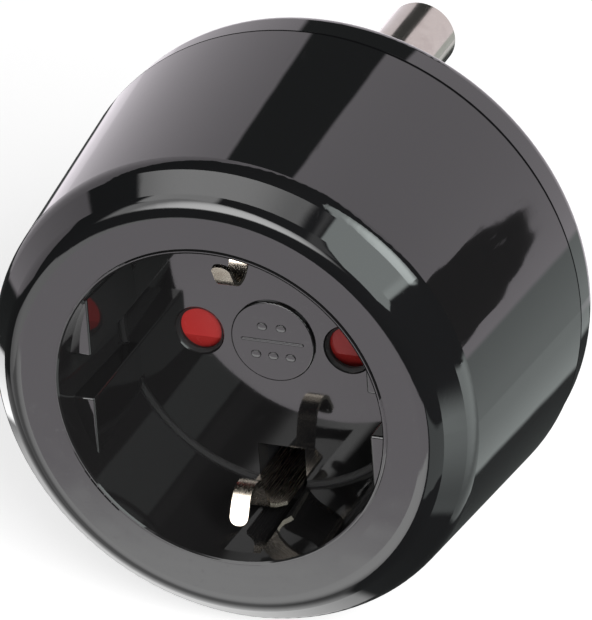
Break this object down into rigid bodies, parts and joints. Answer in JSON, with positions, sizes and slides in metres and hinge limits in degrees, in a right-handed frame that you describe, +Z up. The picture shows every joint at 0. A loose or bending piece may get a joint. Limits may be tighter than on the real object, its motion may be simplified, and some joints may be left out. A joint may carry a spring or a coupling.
{
  "type": "travel adapter plug",
  "caption": "Round black travel adapter with a recessed, shuttered, side-earthed socket in front and round plug pins behind, the earth pin large and long.",
  "frame": {"origin": "centre of the flat rear face that meets the wall outlet", "axes": "+Y points out of the rear face along the pins, so the socket opens towards -Y; +Z points up to the large earth pin; +X lies across the two smaller pins"},
  "size_m": [0.0656, 0.0706, 0.0656],
  "materials": {
    "black_plastic": "glossy moulded black",
    "recess_plastic": "glossy moulded black",
    "red_plastic": "glossy moulded red",
    "inner_plastic": "matt moulded black",
    "brass": "bare brass",
    "plated_clip": "nickel plated, slightly warm",
    "plated_pin": "nickel plated, polished",
    "spring_steel": "bright spring steel",
    "screw_steel": "zinc plated steel"
  },
  "bodies": {
    "housing": {"front_shell": "black_plastic", "socket_insert": "recess_plastic", "shutter_plate": "inner_plastic", "contact_carrier": "inner_plastic", "line_contact": "brass", "neutral_contact": "brass", "line_grip_ring": "spring_steel", "neutral_grip_ring": "spring_steel", "line_strap": "brass", "neutral_strap": "brass", "earth_bridge": "brass", "earth_pin": "plated_pin", "line_pin": "plated_pin", "neutral_pin": "plated_pin", "pin_retainer": "inner_plastic", "rear_cover": "black_plastic", "pin_screws": "screw_steel", "pin_washers": "screw_steel", "carrier_screws": "screw_steel", "retainer_screws": "screw_steel", "cover_screws": "screw_steel", "shutter_spring_left": "spring_steel", "shutter_spring_right": "spring_steel"},
    "shutter": {"shutter_slider": "red_plastic"},
    "upper_clip": {"upper_earth_clip": "plated_clip"},
    "lower_clip": {"lower_earth_clip": "plated_clip"}
  },
  "joints": [
    {"name": "shutter_slide", "type": "slide", "parent": "housing", "child": "shutter", "axis": [0, 0, 1], "range_m": [0, 0.0066], "stiffness_N_per_m": 250, "springref_m": -0.004, "deforming": ["shutter_spring_left", "shutter_spring_right"]},
    {"name": "upper_clip_flex", "type": "hinge", "parent": "housing", "child": "upper_clip", "pos_m": [0, -0.014, 0.01855], "axis": [-1, 0, 0], "range_deg": [0, 6], "stiffness_Nm_per_rad": 1.2},
    {"name": "lower_clip_flex", "type": "hinge", "parent": "housing", "child": "lower_clip", "pos_m": [0, -0.014, -0.01855], "axis": [1, 0, 0], "range_deg": [0, 6], "stiffness_Nm_per_rad": 1.2}
  ]
}
